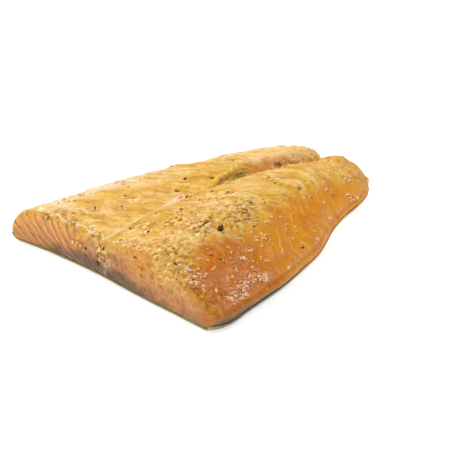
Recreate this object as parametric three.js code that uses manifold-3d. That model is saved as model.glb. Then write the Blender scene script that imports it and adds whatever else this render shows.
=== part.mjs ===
// A marinated salmon fillet: the tail half of one side of a fish, skin down, cut square across at the thick end.
// Two solids, in millimetres: the flesh, with the pepper, seeds and herbs of its marinade, and the skin under it.
// X runs from the cut face to the tail, Y from the back edge to the belly edge, Z up from the table.
import * as THREE from "three";
import { mergeVertices } from "three/addons/utils/BufferGeometryUtils.js";
import Module from "manifold-3d";

const wasm = await Module();
wasm.setup();

// Driving dimensions.
const fillet = {
  length: 200, // cut face to tail end
  loinThickness: 33, // the back muscle at its thickest, near the cut face
  bellyThickness: 27.5,
  seamThickness: 27, // where the two muscles meet, at the cut face
};
const skinLayer = {
  thickness: 1.3,
  gap: 0.3, // between the skin and the flesh on it
};
const backEdge = {
  bend: 6.5, // radius of the skin where it turns up along the edge
  turn: 72, // degrees that it turns up
};
const bellyEdge = {
  bend: 7,
  turn: 80,
};
const backWall = {
  out: 0.2, // how far it bulges over the skin's rim
  bulgeAt: 0.45, // at this share of its height
  topIn: 1, // how far in from the edge the top starts
};
const bellyLip = 1; // height of the flesh's edge above the skin at the belly edge
const marinade = {
  seeds: 72,
  seedSize: [2.6, 1.3], // the largest and the smallest, end to end
  flakes: 16, // of herb
  flakeSize: [4.2, 2.6],
  along: [0.04, 0.96], // where they lie, as shares of the length
  across: [0.06, 0.88], // and of the width, from the back edge
  thickest: { x: 50, y: 45, reachX: 100, reachY: 60 },
  thinnest: 0.3, // how many lie far from there, against 1 there
};
const grid = {
  stations: 40, // sections along the length
  crowding: 1.35, // above 1 they stand closer towards the tail
  acrossLoin: 20,
  acrossBelly: 16,
  bendSteps: 4,
  roundSteps: 6,
  underShares: [0.15, 0.3, 0.42, 0.5, 0.56, 0.62, 0.7, 0.85], // of the flat underside, from the back edge
};

// The plan: both edges and the seam between the muscles, as pairs of a share of the length and Y.
const plan = {
  back: [[0, -4], [0.04, -8.8], [0.15, -9.2], [0.31, -8.5], [0.45, -5], [0.53, -2.5], [0.6, 2.5], [0.67, 8],
    [0.76, 12.5], [0.88, 15.5], [0.94, 19], [1, 29]],
  belly: [[0, 160.5], [0.03, 157.5], [0.13, 153.5], [0.26, 147.5], [0.36, 141.5], [0.5, 133.5], [0.62, 125],
    [0.75, 119], [0.88, 107.5], [1, 92]],
  seam: [[0, 82], [0.3, 83.5], [0.55, 82], [0.8, 75], [1, 66]],
  roll: [[0, 24], [0.5, 19], [1, 13]], // how far in from the belly edge the top starts to roll over
};

// How far the two ends stray from straight across, as pairs of Y and X.
const ends = {
  cut: [[-10, -2], [0, -0.7], [20, 0], [48, 0.4], [90, 2.5], [121, 2], [150, 0], [160, -2.8]],
  tail: [[-20, -6], [24, -3], [32, 1], [42, 3], [56, 2], [65, -4], [72, 1], [82, 3], [94, 0], [160, -6]],
};

// The heights above the table, as shares of the thicknesses.
const heights = {
  loin: [[0, 0.98], [0.1, 1], [0.3, 0.97], [0.6, 0.81], [0.85, 0.585], [0.92, 0.52], [0.97, 0.51], [1, 0.45]],
  seam: [[0, 1], [0.25, 0.97], [0.5, 0.78], [0.75, 0.46], [0.9, 0.33], [1, 0.26]],
  belly: [[0, 1], [0.3, 0.97], [0.6, 0.83], [0.85, 0.68], [0.95, 0.6], [1, 0.48]],
  crest: [[0, 0.57], [0.5, 0.7], [0.85, 0.78], [1, 0.7]], // where across the back muscle its highest line runs
  fall: [[0, 1.3], [0.35, 1.6], [0.7, 2.4], [1, 2.4]], // how sharply it falls from there to the seam
  brow: [[0, 0.3], [0.8, 0.29], [0.93, 0.25], [1, 0.19]], // the steep rim above the skin at the back edge
};

// The belly muscle's top, across it: it rises over the first share, and droops a little to the edge.
const bellyArch = { rise: 0.42, power: 0.8, droop: 0.06 };

// What stands out from the smooth muscles or sinks into them. Places along the length, reaches and heights in mm.
const relief = {
  paste: { height: 2.2, at: 112, reach: 36, beyondSeam: 3, width: 7.5 },
  knot: { height: 1.2, at: 72, reach: 14, width: 7.5 },
  crease: { depth: 1.5, at: 131, slant: 0.6, reach: 12, middle: 15, width: 26 },
  uneven: { height: 0.35, waveX: 7.3, slantX: 19, waveY: 8.7, slantY: 23 },
};

// The larger bits of pepper: on top by X, Y and size, and on the cut face by Y, Z and size.
const pepper = {
  onTop: [[49.5, 32.5, 4.2], [48, 42.5, 3], [20.5, 63, 2.2], [6, 71, 2.4], [6.5, 29, 3], [23.5, 128.5, 2.2],
    [25, 112, 2.4], [73.5, 80.5, 2.6], [88.5, 41.5, 2.6], [79.5, 39, 2.2], [107, 90, 3.2], [129.5, 83.5, 3],
    [127, 58.5, 2.4], [162, 78.5, 5], [145, 70, 3], [71, 15, 2], [88, 1, 2], [42.5, -2, 2.4]],
  onCut: [[129, 24.5, 2.9], [86, 14.5, 2.8], [83.5, 19, 3], [88, 8.5, 2.8], [106, 14.5, 2.4], [97.5, 15, 2.4],
    [72.5, 17, 2.6], [55, 26, 2.6], [49, 16, 4]],
};

// A smooth curve through pairs of place and value.
function through(pairs) {
  const places = pairs.map(([place]) => place);
  const values = pairs.map(([, value]) => value);
  const curve = new THREE.CubicInterpolant(places, values, 1);
  return (at) => curve.evaluate(at)[0];
}

// A smooth value along the fillet, from pairs of share of the length and value.
function along(pairs, scale = 1) {
  const value = through(pairs);
  return (s) => scale * value(s / fillet.length);
}

const backY = along(plan.back);
const bellyY = along(plan.belly);
const seamY = along(plan.seam);
const rollWidth = along(plan.roll);
const cutX = through(ends.cut);
const tailX = through(ends.tail);
const loinTop = along(heights.loin, fillet.loinThickness);
const seamTop = along(heights.seam, fillet.seamThickness);
const bellyTop = along(heights.belly, fillet.bellyThickness);
const crestShare = along(heights.crest);
const fallPower = along(heights.fall);
const browTop = along(heights.brow, fillet.loinThickness);

// An even spread without a pattern: the share at place i of the Halton sequence of a base.
function halton(i, base) {
  let value = 0;
  let step = 1;
  for (let rest = i; rest > 0; rest = Math.floor(rest / base)) {
    step /= base;
    value += step * (rest % base);
  }
  return value;
}

// A hump of height 1 in the middle that has gone at 1 either side.
function hump(t) {
  const a = Math.min(1, Math.abs(t));
  return (1 - a * a) ** 2;
}

// The skin's section at s, from the back edge to the belly edge, moved in by inset from its outer face.
function skinLine(s, inset) {
  const back = backY(s);
  const belly = bellyY(s);
  const bend = (edge, side, { bend: radius, turn }) => {
    const points = [];
    for (let i = 0; i <= grid.bendSteps; i++) {
      const angle = THREE.MathUtils.degToRad(turn) * (1 - i / grid.bendSteps);
      const reach = (radius - inset) * Math.sin(angle);
      points.push([edge + side * (radius - reach), radius - (radius - inset) * Math.cos(angle)]);
    }
    return points;
  };
  const from = back + backEdge.bend;
  const to = belly - bellyEdge.bend;
  const flat = grid.underShares.map((share) => [from + (to - from) * share, inset]);
  return [...bend(back, 1, backEdge), ...flat, ...bend(belly, -1, bellyEdge).reverse()];
}

// The ridge of paste along the seam, the knot in it, the soft crease before the tail, and slow unevenness.
function reliefAt(s, y) {
  const { paste, knot, crease, uneven } = relief;
  const fromSeam = y - seamY(s);
  const ridge = paste.height * hump((s - paste.at) / paste.reach) * hump((fromSeam - paste.beyondSeam) / paste.width);
  const lump = knot.height * hump((s - knot.at) / knot.reach) * hump(fromSeam / knot.width);
  const creaseAt = crease.at + crease.slant * y;
  const fold = crease.depth * hump((s - creaseAt) / crease.reach) * hump((y - crease.middle) / crease.width);
  const waves = Math.sin(s / uneven.waveX + y / uneven.slantX) * Math.sin(y / uneven.waveY - s / uneven.slantY);
  return ridge + lump - fold + uneven.height * waves;
}

// The height of the flesh at s, before its top rolls over at the belly edge.
function fleshTop(s, y) {
  return muscleTop(s, y) + reliefAt(s, y);
}

function muscleTop(s, y) {
  const edge = backY(s);
  const seam = seamY(s);
  const brow = browTop(s);
  if (y < seam) {
    const share = Math.max(0, (y - edge) / (seam - edge));
    const crest = crestShare(s);
    if (share < crest) {
      return brow + (loinTop(s) - brow) * Math.sin((Math.PI / 2) * (share / crest));
    }
    const fall = (share - crest) / (1 - crest);
    return loinTop(s) - (loinTop(s) - seamTop(s)) * fall ** fallPower(s);
  }
  const share = (y - seam) / (bellyY(s) - seam);
  const { rise, power, droop } = bellyArch;
  if (share < rise) {
    return seamTop(s) + (bellyTop(s) - seamTop(s)) * Math.sin((Math.PI / 2) * (share / rise)) ** power;
  }
  return bellyTop(s) * (1 - droop * ((share - rise) / (1 - rise)) ** 2);
}

// The place in space of a section's point, with both ends' stray worked in.
function place(s, [y, z]) {
  const share = s / fillet.length;
  return new THREE.Vector3(s + (1 - share) * cutX(y) + share * tailX(y), y, z);
}

// The two halves of the flesh's section, both from the back edge to the belly edge.
function fleshSection(s) {
  const back = backY(s);
  const belly = bellyY(s);
  const lower = skinLine(s, skinLayer.thickness + skinLayer.gap);
  const [, foot] = lower[0];
  const upper = [[back - backWall.out, foot + (browTop(s) - foot) * backWall.bulgeAt]];
  const seam = seamY(s);
  const roll = rollWidth(s);
  const topStart = back + backWall.topIn;
  const topEnd = belly - roll;
  // the points stand closest at the seam
  for (let i = 0; i < grid.acrossLoin; i++) {
    const share = i / grid.acrossLoin;
    const y = topStart + ((seam - topStart) * (share + Math.sin((Math.PI / 2) * share))) / 2;
    upper.push([y, fleshTop(s, y)]);
  }
  for (let i = 0; i <= grid.acrossBelly; i++) {
    const share = i / grid.acrossBelly;
    const y = seam + ((topEnd - seam) * (share + 1 - Math.cos((Math.PI / 2) * share))) / 2;
    upper.push([y, fleshTop(s, y)]);
  }
  const shoulder = fleshTop(s, topEnd);
  const lip = lower.at(-1)[1] + bellyLip;
  for (let i = 1; i <= grid.roundSteps; i++) {
    const turn = (Math.PI / 2) * (i / grid.roundSteps);
    upper.push([topEnd + roll * Math.sin(turn), lip + (shoulder - lip) * Math.cos(turn)]);
  }
  return [lower, upper];
}

function skinSection(s) {
  return [skinLine(s, 0), skinLine(s, skinLayer.thickness)];
}

// Faces between two rows that run side by side and share no vertex. Each row lists its vertices in order of Y.
function strip(rowA, rowB, yOf) {
  const faces = [];
  let [a, b] = [0, 0];
  while (a < rowA.length - 1 || b < rowB.length - 1) {
    const stepA = b === rowB.length - 1 || (a < rowA.length - 1 && yOf(rowA[a + 1]) < yOf(rowB[b + 1]));
    if (stepA) {
      faces.push([rowA[a], rowA[a + 1], rowB[b]]);
      a += 1;
    } else {
      faces.push([rowA[a], rowB[b + 1], rowB[b]]);
      b += 1;
    }
  }
  return faces;
}

// A closed solid through the sections, with a face across each end.
function loft(section) {
  const vertices = [];
  const faces = [];
  const rings = [];
  for (let i = 0; i <= grid.stations; i++) {
    const s = fillet.length * (1 - (1 - i / grid.stations) ** grid.crowding);
    const [lower, upper] = section(s).map((row) => row.map((point) => vertices.push(place(s, point)) - 1));
    rings.push({ lower, upper, ring: [...lower, ...upper.toReversed()] });
  }
  for (let i = 1; i < rings.length; i++) {
    const [near, far] = [rings[i - 1].ring, rings[i].ring];
    for (let j = 0; j < near.length; j++) {
      const k = (j + 1) % near.length;
      faces.push([near[j], near[k], far[j]], [near[k], far[k], far[j]]);
    }
  }
  const yOf = (index) => vertices[index].y;
  faces.push(...strip(rings[0].lower, rings[0].upper, yOf).map(([a, b, c]) => [a, c, b]));
  faces.push(...strip(rings.at(-1).lower, rings.at(-1).upper, yOf));
  const geometry = new THREE.BufferGeometry().setFromPoints(vertices);
  geometry.setIndex(faces.flat());
  return geometry;
}

function solidOf(geometry) {
  const vertProperties = new Float32Array(geometry.attributes.position.array);
  const triVerts = new Uint32Array(geometry.index.array);
  return new wasm.Manifold(new wasm.Mesh({ numProp: 3, vertProperties, triVerts }));
}

function geometryOf(solid) {
  const { vertProperties, triVerts } = solid.getMesh();
  const geometry = new THREE.BufferGeometry();
  geometry.setAttribute("position", new THREE.BufferAttribute(vertProperties, 3));
  geometry.setIndex(new THREE.BufferAttribute(triVerts, 1));
  return geometry;
}

// A shape with its vertices shared, so that it closes.
function bare(geometry) {
  geometry.deleteAttribute("normal");
  geometry.deleteAttribute("uv");
  return mergeVertices(geometry);
}

// A small piece half sunk in the surface where a ray from outside meets it.
function crumb(shape, size, from, towards, turn) {
  const [{ point, face }] = new THREE.Raycaster(from, towards).intersectObject(bareFlesh);
  const piece = new THREE.Object3D();
  piece.position.copy(point);
  piece.lookAt(point.clone().add(face.normal));
  piece.rotateZ(turn);
  piece.scale.set(...shape.sides.map((side) => (side * size) / 2));
  piece.updateMatrix();
  return solidOf(shape.geometry.clone().applyMatrix4(piece.matrix));
}

// The rays start well clear of the flesh.
const clear = 100;
const onTop = (shape, x, y, size, turn) =>
  crumb(shape, size, new THREE.Vector3(x, y, clear), new THREE.Vector3(0, 0, -1), turn);
const onCut = (shape, y, z, size, turn) =>
  crumb(shape, size, new THREE.Vector3(-clear, y, z), new THREE.Vector3(1, 0, 0), turn);

// Pieces of one kind scattered over the top, the largest first, most of them on the crest near the cut face.
function scatter(shape, count, [largest, smallest], start) {
  const { along: [first, last], across: [inner, outer], thickest, thinnest } = marinade;
  const pieces = [];
  for (let i = start; pieces.length < count; i++) {
    const s = fillet.length * (first + (last - first) * halton(i, 2));
    const y = backY(s) + (bellyY(s) - backY(s)) * (inner + (outer - inner) * halton(i, 3));
    const nearness = hump((s - thickest.x) / thickest.reachX) * hump((y - thickest.y) / thickest.reachY);
    if (halton(i, 5) < thinnest + (1 - thinnest) * nearness) {
      const size = largest + ((smallest - largest) * pieces.length) / count;
      pieces.push(onTop(shape, s, y, size, 2 * Math.PI * halton(i, 7)));
    }
  }
  return pieces;
}

const seed = { geometry: bare(new THREE.IcosahedronGeometry(1)), sides: [1, 0.75, 0.6] };
const corn = { geometry: bare(new THREE.IcosahedronGeometry(1)), sides: [1, 0.85, 0.8] };
const flake = { geometry: bare(new THREE.OctahedronGeometry(1)), sides: [1, 0.5, 0.22] };

const bareFlesh = new THREE.Mesh(loft(fleshSection));
const crumbs = [
  ...pepper.onTop.map(([x, y, size], i) => onTop(corn, x, y, size, i)),
  ...pepper.onCut.map(([y, z, size], i) => onCut(corn, y, z, size, i)),
  ...scatter(seed, marinade.seeds, marinade.seedSize, 1),
  ...scatter(flake, marinade.flakes, marinade.flakeSize, 501),
];
const dressedFlesh = crumbs.reduce((whole, piece) => whole.add(piece), solidOf(bareFlesh.geometry));

const flesh = new THREE.Mesh(
  geometryOf(dressedFlesh),
  new THREE.MeshStandardMaterial({ color: "#d58f45", roughness: 0.35, metalness: 0 }),
);
flesh.name = "flesh";
const skin = new THREE.Mesh(
  loft(skinSection),
  new THREE.MeshStandardMaterial({ color: "#7c7a70", roughness: 0.35, metalness: 0 }),
);
skin.name = "skin";

// The origin is at the middle of the fillet's box, on the table.
const salmonFillet = new THREE.Group();
salmonFillet.add(flesh, skin);
const middle = new THREE.Box3().setFromObject(salmonFillet).getCenter(new THREE.Vector3());
salmonFillet.position.set(-middle.x, -middle.y, 0);
export default salmonFillet;
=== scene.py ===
# A raw marinated salmon fillet, skin down on a pale floor: wet flesh, its skin, and the bits of its marinade.
# Everything is in metres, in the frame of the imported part. Values called Mm are in millimetres, and so are the
# places in the lists and marks, from the corner where the back edge meets the cut face: X to the tail, Y to the
# belly edge.
import math

import bpy
import numpy as np
from mathutils import Matrix, Vector, noise
from mathutils.bvhtree import BVHTree


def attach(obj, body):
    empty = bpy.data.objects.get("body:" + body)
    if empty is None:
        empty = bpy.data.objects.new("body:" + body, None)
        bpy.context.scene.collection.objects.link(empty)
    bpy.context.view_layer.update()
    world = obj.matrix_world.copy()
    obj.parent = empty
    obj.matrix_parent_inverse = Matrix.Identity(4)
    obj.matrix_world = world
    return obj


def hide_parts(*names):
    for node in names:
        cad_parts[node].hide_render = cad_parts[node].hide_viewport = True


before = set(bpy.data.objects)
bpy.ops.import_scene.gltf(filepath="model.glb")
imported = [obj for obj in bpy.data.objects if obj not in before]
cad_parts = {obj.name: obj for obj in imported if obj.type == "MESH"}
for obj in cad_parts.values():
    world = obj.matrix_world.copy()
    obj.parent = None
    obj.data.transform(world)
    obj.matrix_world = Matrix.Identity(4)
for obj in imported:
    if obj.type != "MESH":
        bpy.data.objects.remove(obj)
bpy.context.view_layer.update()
mm = 0.001
cornerMm = np.array([-100.237, -75.245, 0.0])  # that corner, from the middle of the footprint
sharpAngle = math.radians(50)  # edges sharper than this aren't shaded smooth
print("frame loaded:", sorted(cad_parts))


def linear(hexColour):
    # sRGB hex to the linear colour that the sockets take
    parts = [int(hexColour[i:i + 2], 16) / 255 for i in (1, 3, 5)]
    return [c / 12.92 if c <= 0.04045 else ((c + 0.055) / 1.055) ** 2.4 for c in parts] + [1.0]


def addNode(tree, kind, inputs=None, **settings):
    # a node with its settings, and for each input a value, the output that feeds it, or the node whose first does
    node = tree.nodes.new("ShaderNode" + kind)
    for name, value in settings.items():
        setattr(node, name, value)
    for socket, value in (inputs or {}).items():
        if isinstance(value, bpy.types.Node):
            value = value.outputs[0]
        if isinstance(value, bpy.types.NodeSocket):
            tree.links.new(value, node.inputs[socket])
        else:
            node.inputs[socket].default_value = value
    return node


eased = {"interpolation_type": "SMOOTHSTEP"}  # for a Map Range node


def placeInMm(tree):
    # a piece's own place in millimetres, whole and in parts
    place = addNode(tree, "TexCoord").outputs["Object"]
    placeMm = addNode(tree, "VectorMath", {0: place, "Scale": 1 / mm}, operation="SCALE")
    return placeMm, addNode(tree, "SeparateXYZ", {0: placeMm}).outputs


def newMaterial(name):
    material = bpy.data.materials.new(name)
    material.use_nodes = True
    material.node_tree.nodes.clear()
    return material, material.node_tree


def fade(start, end, value):
    # softly from 0 at the start to 1 at the end
    t = np.clip((value - start) / (end - start), 0, 1)
    return t * t * (3 - 2 * t)


def hump(t):
    # 1 in the middle, and 0 from a distance of 1 on
    a = np.minimum(1, np.abs(t))
    return (1 - a * a) ** 2


def through(pairs):
    # a smooth curve through pairs of place and value
    places, values = np.array(pairs, float).T

    def curve(at):
        i = np.clip(np.searchsorted(places, at, side="right") - 1, 0, len(places) - 2)
        span = places[i + 1] - places[i]
        first, last = i == 0, i == len(places) - 2
        before = np.where(first, -0.5, span / 2 / np.where(first, 1, places[i] - places[np.maximum(i - 1, 0)]))
        nextOne = np.minimum(i + 2, len(places) - 1)
        after = np.where(last, -0.5, span / 2 / np.where(last, 1, places[nextOne] - places[i + 1]))
        p = (at - places[i]) / span
        previous = np.where(first, values[i + 1], values[np.maximum(i - 1, 0)])
        following = np.where(last, values[i], values[nextOne])
        return (previous * (-before * p**3 + 2 * before * p**2 - before * p)
                + values[i] * ((1 + before) * p**3 + (-1.5 - 2 * before) * p**2 + (-0.5 + before) * p + 1)
                + values[i + 1] * ((-1 - after) * p**3 + (1.5 + after) * p**2 + 0.5 * p)
                + following * (after * p**3 - after * p**2))

    return curve


def halton(i, base):
    # evenly spread numbers from 0 to 1, the same in each run
    value, step = 0.0, 1.0
    while i > 0:
        step /= base
        value += step * (i % base)
        i //= base
    return value


def pick(piece):
    # the one selected and active object
    bpy.ops.object.select_all(action="DESELECT")
    piece.select_set(True)
    bpy.context.view_layer.objects.active = piece


def applyModifier(piece, kind, **settings):
    pick(piece)
    modifier = piece.modifiers.new(kind.lower(), kind)
    for name, value in settings.items():
        setattr(modifier, name, value)
    bpy.ops.object.modifier_apply(modifier=modifier.name)


def newObject(name, mesh):
    piece = bpy.data.objects.new(name, mesh)
    bpy.context.scene.collection.objects.link(piece)
    pick(piece)
    return piece


def copyOfNode(node, name):
    # a CAD node's solid as a new object, its loose triangles joined
    piece = newObject(name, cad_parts[node].data.copy())
    piece.data.name = name
    piece.data.materials.clear()
    bpy.ops.object.mode_set(mode="EDIT")
    bpy.ops.mesh.select_all(action="SELECT")
    bpy.ops.mesh.remove_doubles(threshold=0.00001)
    bpy.ops.mesh.customdata_custom_splitnormals_clear()
    bpy.ops.object.mode_set(mode="OBJECT")
    return piece


def readOut(items, what, width=3):
    # what every point or face of a mesh has, as the rows of an array
    values = np.empty(len(items) * width)
    items.foreach_get(what, values)
    return values.reshape(-1, width)


def pointsOf(mesh):
    return readOut(mesh.vertices, "co")


def normalsOf(mesh):
    return readOut(mesh.vertex_normals, "vector")


def movePoints(mesh, points):
    mesh.vertices.foreach_set("co", points.ravel())
    mesh.update()


def setShare(mesh, name, values):
    layer = mesh.attributes.new(name, "FLOAT", "POINT")
    layer.data.foreach_set("value", np.asarray(values, np.float32))


def noiseAt(points, scaleMm, seed=0):
    # smooth noise from -1 to 1, in blobs of about the scale
    offset = Vector((seed * 17.3, seed * 5.1, seed * 9.7))
    scaled = points / np.asarray(scaleMm, float)
    return np.array([noise.noise(Vector(p) + offset) for p in scaled])


# the fillet's edges and the seam between its muscles, as pairs of a share of the length and Y
lines = {
    "length": 200,
    "back": [[0, -4], [0.04, -8.8], [0.15, -9.2], [0.31, -8.5], [0.45, -5], [0.53, -2.5], [0.6, 2.5], [0.67, 8],
             [0.76, 12.5], [0.88, 15.5], [0.94, 19], [1, 29]],
    "belly": [[0, 160.5], [0.03, 157.5], [0.13, 153.5], [0.26, 147.5], [0.36, 141.5], [0.5, 133.5], [0.62, 125],
              [0.75, 119], [0.88, 107.5], [1, 92]],
    "seam": [[0, 82], [0.3, 83.5], [0.55, 82], [0.8, 75], [1, 66]],
}
backY, bellyY, seamY = (through(lines[name]) for name in ("back", "belly", "seam"))


def shareAlong(x):
    # from 0 at the cut face to 1 at the tail
    return np.clip(x / lines["length"], 0, 1)


fleshForm = {
    "voxelMm": 0.76,
    "smoothTimes": {
        "all": 5,
        "upper": 34,  # not near the skin, where the flesh keeps its edge
        "brink": 60,  # along the top of the cut face, which is soft
        "hem": 90,  # along the foot of the flank towards the tail, which rolls under
    },
    # The flakes run across the loin in a W: pairs of a distance from the back edge and how far they lie to the head.
    "loinWave": [[-6, 9], [3, 16], [12, 18], [33, 2], [50, 13], [95, 51]],
    "loinFlakeMm": 8.5,
    "bellyFlakeMm": 6.0,
    "lineShare": 0.12,  # half the width of a line of fat, as a share of a flake
    "lineReliefMm": 0.12,
    "flakeStepMm": 0.3,  # how far each flake stands over the next
    "unevenMm": 0.9,  # slow swells
    "roughMm": 1.1,  # lumps of the soaked top
    "pasteMm": 1.2,
    "knotMm": 0.8,
    "brinkMm": 0.5,
    "tailKnobMm": 2.2,
    "edgeKnobMm": 1.0,  # knobs along the belly edge
    "moundMm": 2.2,
    "footMm": 0.45,  # how far the foot is let out to meet the skin's rim
    "pasteRidge": (77, 79.4, 0.2),  # it crosses the seam: a place on it, X and Y, and how it leans
    "swirl": (3, 30, 27),  # nearly bare paste at the top of the cut face: X, Y, Z
    "mound": (112, 124),  # a soft rise on the belly: X, Y
    "underside": {"topMm": 2.4, "facing": -0.97, "kept": 0.06},  # never seen: few of its faces are kept
}


def buildFlesh():
    flesh = copyOfNode("flesh", "salmonFlesh")
    applyModifier(flesh, "REMESH", mode="VOXEL", voxel_size=fleshForm["voxelMm"] * mm, use_smooth_shade=True)
    times = fleshForm["smoothTimes"]
    applyModifier(flesh, "SMOOTH", factor=0.5, iterations=times["all"])
    mesh = flesh.data
    thinUnderside(flesh)
    p = pointsOf(mesh) / mm - cornerMm
    x, y, z = p.T
    brink = fade(11, 6, x) * fade(10, 5, belowTop(p))
    hem = (fade(55, 85, x) * fade(4.5, 8, z) * fade(17, 12, z)
           * fade(20, 12, y - backY(shareAlong(x))))
    for name, shares in (("upper", fade(3.5, 10, z)), ("brink", brink), ("hem", hem)):
        group = flesh.vertex_groups.new(name=name)
        for i in np.flatnonzero(shares):
            group.add([int(i)], shares[i], "REPLACE")
        applyModifier(flesh, "SMOOTH", factor=0.5, iterations=times[name], vertex_group=name)
    points = pointsOf(mesh)
    normals = normalsOf(mesh)
    p = points / mm - cornerMm
    marks = fleshMarks(p, normals)
    lift = relief(p, normals, marks)
    movePoints(mesh, points + normals * (lift * mm)[:, None])
    for name, values in marks.items():
        setShare(mesh, name, values)
    pick(flesh)
    bpy.ops.object.shade_smooth()
    return flesh


def belowTop(p):
    # how far each point lies below the brink of the cut face, at its own Y, told in 64 slots of 3 mm
    firstY, slotMm, slots, nearMm = -14, 3, 64, 9
    slot = np.clip(((p[:, 1] - firstY) / slotMm).astype(int), 0, slots - 1)
    near = p[:, 0] < nearMm
    brink = np.zeros(slots)
    np.maximum.at(brink, slot[near], p[near, 2])
    return brink[slot] - p[:, 2]


def thinUnderside(flesh):
    # the flat underside lies on the skin and needs few faces
    mesh, underside = flesh.data, fleshForm["underside"]
    low = readOut(mesh.polygons, "center")[:, 2] < underside["topMm"] * mm
    hidden = low & (readOut(mesh.polygons, "normal")[:, 2] < underside["facing"])
    pick(flesh)
    bpy.ops.object.mode_set(mode="EDIT")
    bpy.ops.mesh.select_all(action="DESELECT")
    bpy.ops.object.mode_set(mode="OBJECT")
    mesh.polygons.foreach_set("select", hidden)
    bpy.ops.object.mode_set(mode="EDIT")
    bpy.ops.mesh.select_mode(type="FACE")
    bpy.ops.mesh.decimate(ratio=underside["kept"])
    bpy.ops.object.mode_set(mode="OBJECT")


def flakePhase(p):
    # counts the flakes along each muscle, with a pale line at each whole number, and gives how far each point is
    # from the seam and from the back edge
    x, y, z = p.T
    fromSeam = y - seamY(shareAlong(x))
    fromBack = y - backY(shareAlong(x))
    loin = (x + through(fleshForm["loinWave"])(fromBack) - 0.3 * z) / fleshForm["loinFlakeMm"]
    # on the belly they lean over more and more towards the skin
    belly = (0.9 * x + 0.94 * (y - 1.6 * z + 0.03 * z**2)) / fleshForm["bellyFlakeMm"]
    wobble = 0.5 * noiseAt(p, (24, 13, 13), 3) + 0.15 * noiseAt(p, 4, 9)
    return np.where(fromSeam < 0, loin, belly) + wobble, fromSeam, fromBack


# where drops of oil stand close together, with painted glints: X, Y, reach and how strong
dewSpots = [(6, 14, 4, 1), (13, 14, 3.5, 1), (7, 20, 3, 0.7), (17, -2, 3, 0.9), (22, -2, 3.5, 1), (27, -1.5, 4, 1),
            (33, -1, 4, 1), (39, 0.5, 4, 1), (44, 0, 3.5, 0.9), (36, 11, 3, 0.6), (43, 12, 3.5, 0.6),
            (54, 13, 3, 0.5), (9, 45, 2.5, 0.5), (24, 34, 2.5, 0.5), (50.5, 45.5, 2, 0.5), (28, 48, 2.5, 0.4),
            (21, 46, 2.5, 0.4), (71, 82.5, 2.5, 1), (64, 82, 2, 0.6), (155, 28, 5, 0.8), (163, 21, 4, 0.6),
            (165, 17, 4, 0.6), (176, 33, 4, 0.7), (161, 36, 4, 0.5)]


def dewShare(p):
    share = np.zeros(len(p))
    for x, y, reach, most in dewSpots:
        share = np.maximum(share, most * hump(np.hypot(p[:, 0] - x, p[:, 1] - y) / (1.5 * reach)))
    return share


# where herbs and spice lie in clumps: X, Y, Z, reach and how strong
clumpSpots = [(4, 29, 29, 14, 1), (1, 35, 22, 9, 0.8), (2, 23, 24, 9, 0.8), (41, 56, 32, 8, 0.9),
              (42, 43, 32, 9, 1), (73, 33, 28, 8, 0.8), (62, 32, 29, 8, 0.6), (52, 48, 31, 8, 0.5),
              (5, 112, 27, 6, 0.7), (8, 124, 27, 6, 0.5), (5, 91, 27, 7, 0.7), (20, 112, 27, 6, 0.6),
              (2, 83, 17, 7, 0.8), (1, 104, 20, 5, 0.8), (25, 72, 29, 8, 0.5), (84, 42, 29, 7, 0.6),
              (150, 71, 15, 9, 0.7), (140, 73, 18, 7, 0.5)]
# where the film is thick and yellow, or thin over pale flesh with painted sheen on it: X, Y, half the length
# along the flakes, half the width, and how strong
yellowSpots = [(38, 114, 13, 6, 1), (53, 92, 12, 5, 0.8), (75, 97, 16, 6, 0.9), (119, 104, 18, 7, 1),
               (11, 117, 9, 5, 1), (29, 123, 12, 4, 0.7), (40, 98, 10, 4, 0.7), (100, 96, 12, 4, 0.7),
               (60, 70, 9, 4, 0.6), (9, 50, 16, 6, 0.8), (30, 60, 10, 5, 0.6), (125, 92, 12, 5, 0.7),
               (16, 92, 8, 4, 0.8), (55, 58, 8, 4, 0.5), (92, 62, 10, 4, 0.4), (50, 110, 9, 4, 0.6)]
paleSpots = [(49, 138, 16, 5, 1), (28, 106, 9, 4, 0.9), (68, 114, 16, 6, 0.9), (96, 100, 12, 3, 0.6),
             (70, 54, 22, 7, 1), (30, 133, 14, 5, 1), (85, 60, 18, 5, 0.8), (110, 56, 18, 6, 0.7),
             (135, 52, 16, 6, 0.7), (72, 128, 14, 4, 0.8), (100, 118, 14, 4, 0.7), (48, 124, 10, 3, 0.6),
             (60, 101, 8, 3, 0.5), (20, 79, 10, 3, 0.5), (155, 88, 20, 6, 0.7)]


def awayFrom(p, place):
    x, y, z = place
    return np.hypot(np.hypot(p[:, 0] - x, p[:, 1] - y), p[:, 2] - z)


def clumpShare(p, blur=0):
    share = np.zeros(len(p))
    for x, y, z, reach, most in clumpSpots:
        share = np.maximum(share, most * hump((awayFrom(p, (x, y, z)) + blur) / (1.4 * reach)))
    return share


def streakShare(p, spots):
    # how much of a smear that runs with the flakes of the top lies at each point
    share = np.zeros(len(p))
    runX, runY = 0.64, -0.77
    for x, y, halfLong, halfWide, most in spots:
        dx, dy = p[:, 0] - x, p[:, 1] - y
        along, across = runX * dx + runY * dy, runX * dy - runY * dx
        share = np.maximum(share, most * hump(np.hypot(along / halfLong, across / halfWide) / 1.4))
    return share


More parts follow.
